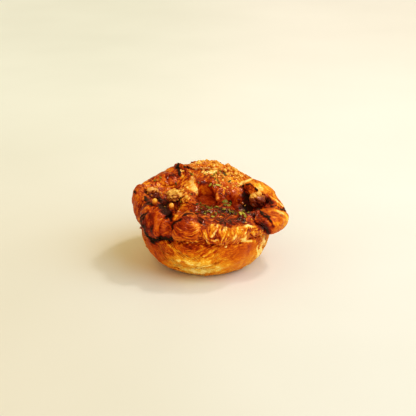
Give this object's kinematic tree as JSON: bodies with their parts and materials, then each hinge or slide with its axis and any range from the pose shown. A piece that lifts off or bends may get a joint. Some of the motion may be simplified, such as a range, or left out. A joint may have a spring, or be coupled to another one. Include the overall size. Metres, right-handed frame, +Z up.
{
  "type": "danish pastry",
  "caption": "Laminated danish baked in a round tin: rounded cup, overhanging folded crown, deep crater with a set filling and walnut pieces in its troughs.",
  "frame": {"origin": "on the surface the pastry rests on, under the middle of its bounding box", "axes": "+X to the right and +Y to the back as the picture shows it, +Z up"},
  "size_m": [0.1043, 0.0972, 0.059],
  "materials": {
    "pastry": "baked laminated dough, glazed on top",
    "filling": "glossy set filling",
    "walnut": "toasted, partly glazed nut"
  },
  "bodies": {
    "root": {"pastry": "pastry", "filling": "filling", "walnut_left_outer": "walnut", "walnut_left_inner": "walnut", "walnut_right": "walnut"}
  },
  "joints": []
}
